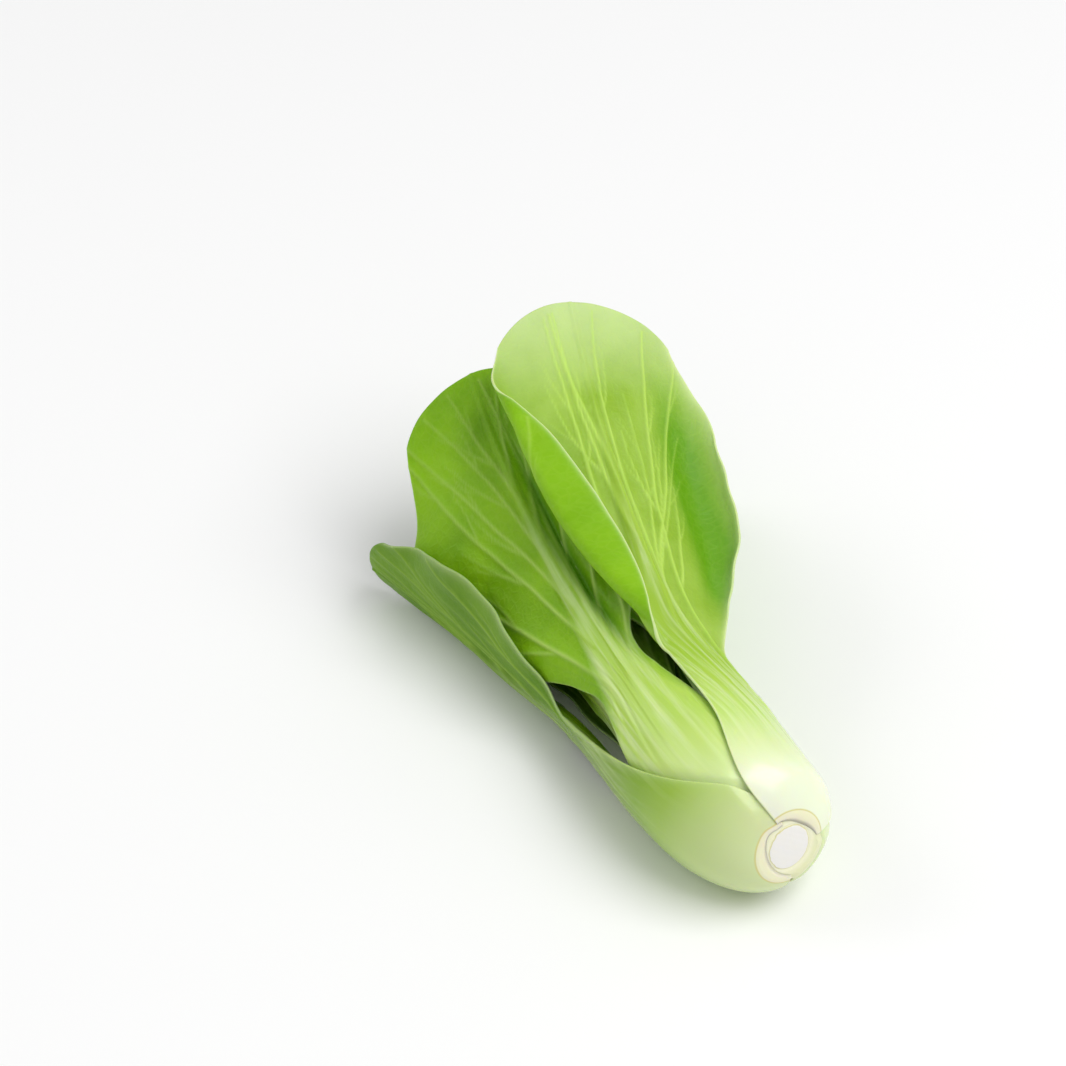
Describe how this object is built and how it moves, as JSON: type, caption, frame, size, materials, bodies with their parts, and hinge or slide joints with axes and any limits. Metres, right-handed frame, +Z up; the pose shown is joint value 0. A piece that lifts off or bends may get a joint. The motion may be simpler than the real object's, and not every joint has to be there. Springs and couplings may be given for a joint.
{
  "type": "bok choy head",
  "caption": "Small head of green-stalked bok choy lying on its side: thick pale stalks clasp a cut stem in a round bulb and open into broad, waved green leaf blades.",
  "frame": {"origin": "middle of the small flat under the bulb on which the head rests", "axes": "+Y along the head from the bulb towards the leaf tips; +Z up, away from the surface that it lies on"},
  "size_m": [0.1046, 0.1752, 0.0899],
  "materials": {
    "stem": "freshly cut stem: moist, off-white, with tan rings at the cut",
    "pale_leaf": "back of a blade: satin pale green with raised lighter veins, on a glossy stalk that fades to white at the bulb",
    "leaf": "satin green blade with pale veins, on a glossy pale green stalk that fades to white at the bulb",
    "heart_leaf": "young inner leaf: light green, satin"
  },
  "bodies": {
    "root": {"stem": "stem", "leaf_1": "pale_leaf", "leaf_2": "leaf", "leaf_3": "leaf", "leaf_4": "leaf", "leaf_5": "leaf", "leaf_6": "leaf", "leaf_7": "leaf", "leaf_8": "leaf", "leaf_9": "heart_leaf", "leaf_10": "heart_leaf"}
  },
  "joints": []
}
